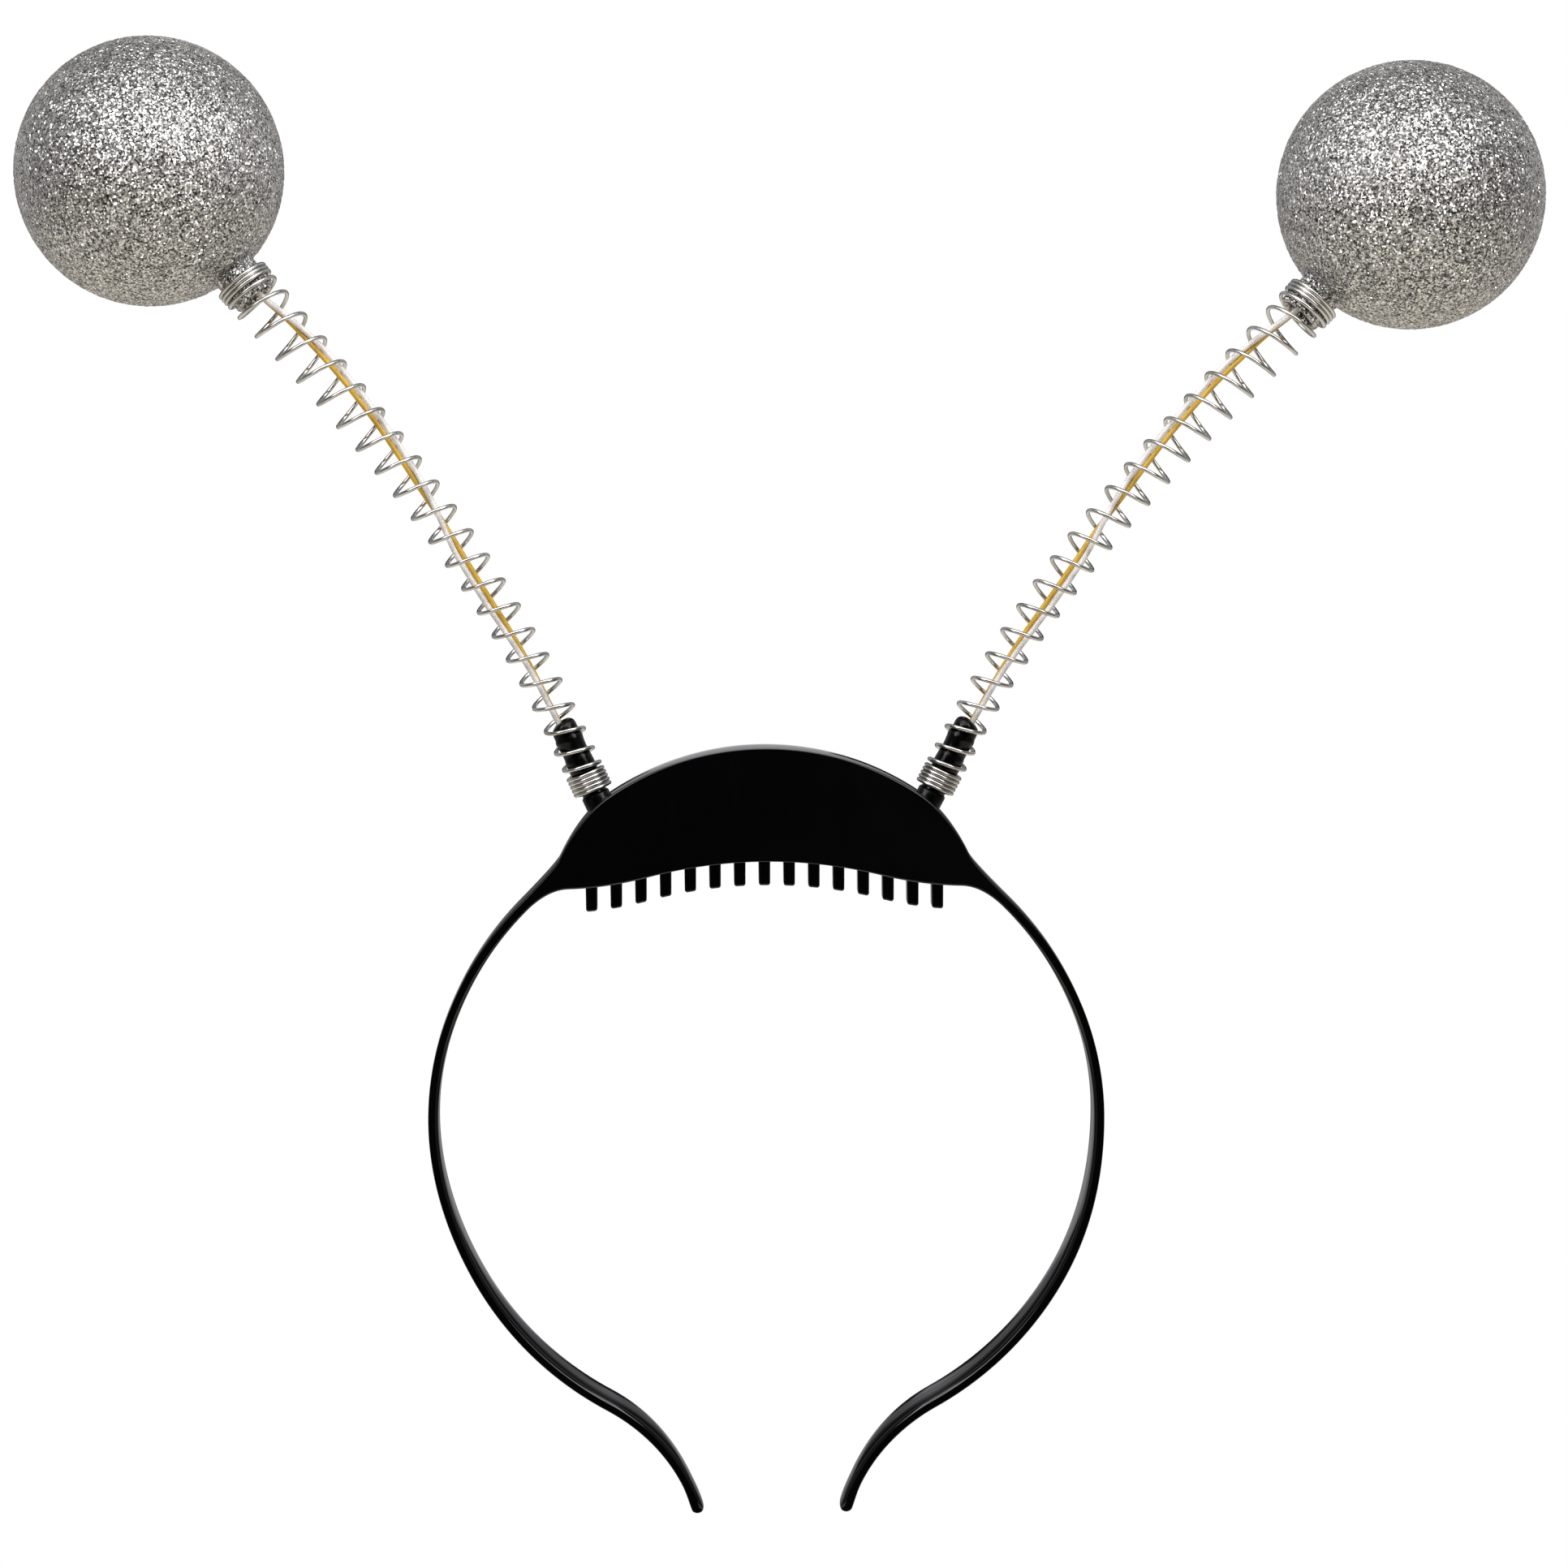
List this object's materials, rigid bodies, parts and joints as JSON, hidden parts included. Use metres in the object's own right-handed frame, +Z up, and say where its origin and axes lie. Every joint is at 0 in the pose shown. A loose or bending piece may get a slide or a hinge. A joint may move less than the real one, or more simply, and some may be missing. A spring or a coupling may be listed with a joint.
{
  "type": "head bopper",
  "caption": "Slim black headband with a comb housing over the crown and silver glitter balls that bob on conical coil springs.",
  "frame": {"origin": "tip of the middle comb tooth, at half the band's depth, where the part sits on the crown", "axes": "+X to the right as seen from the front, +Y to the back of the head, +Z up"},
  "size_m": [0.2891, 0.0507, 0.2807],
  "materials": {
    "black_plastic": "glossy black moulding",
    "spring_steel": "bright drawn wire",
    "silver_glitter": "silver glitter coat on plastic",
    "white_lead": "smooth insulation",
    "yellow_lead": "smooth insulation"
  },
  "bodies": {
    "band": {"headband": "black_plastic", "comb": "black_plastic", "post_left": "black_plastic", "post_right": "black_plastic", "spring_left": "spring_steel", "spring_right": "spring_steel", "lead_white_left": "white_lead", "lead_white_right": "white_lead", "lead_yellow_left": "yellow_lead", "lead_yellow_right": "yellow_lead"},
    "bob_left": {"ball_left": "silver_glitter"},
    "bob_right": {"ball_right": "silver_glitter"}
  },
  "joints": [
    {"name": "left_bob", "type": "hinge", "parent": "band", "child": "bob_left", "pos_m": [-0.0525, 0.0013, 0.058], "axis": [0, -1, 0], "range_deg": [-30, 30], "stiffness_Nm_per_rad": 0.023, "springref_deg": -16.39, "deforming": ["spring_left", "lead_white_left", "lead_yellow_left"]},
    {"name": "right_bob", "type": "hinge", "parent": "band", "child": "bob_right", "pos_m": [0.0575, 0.0013, 0.056], "axis": [0, 1, 0], "range_deg": [-30, 30], "stiffness_Nm_per_rad": 0.023, "springref_deg": -17.42, "deforming": ["spring_right", "lead_white_right", "lead_yellow_right"]}
  ]
}
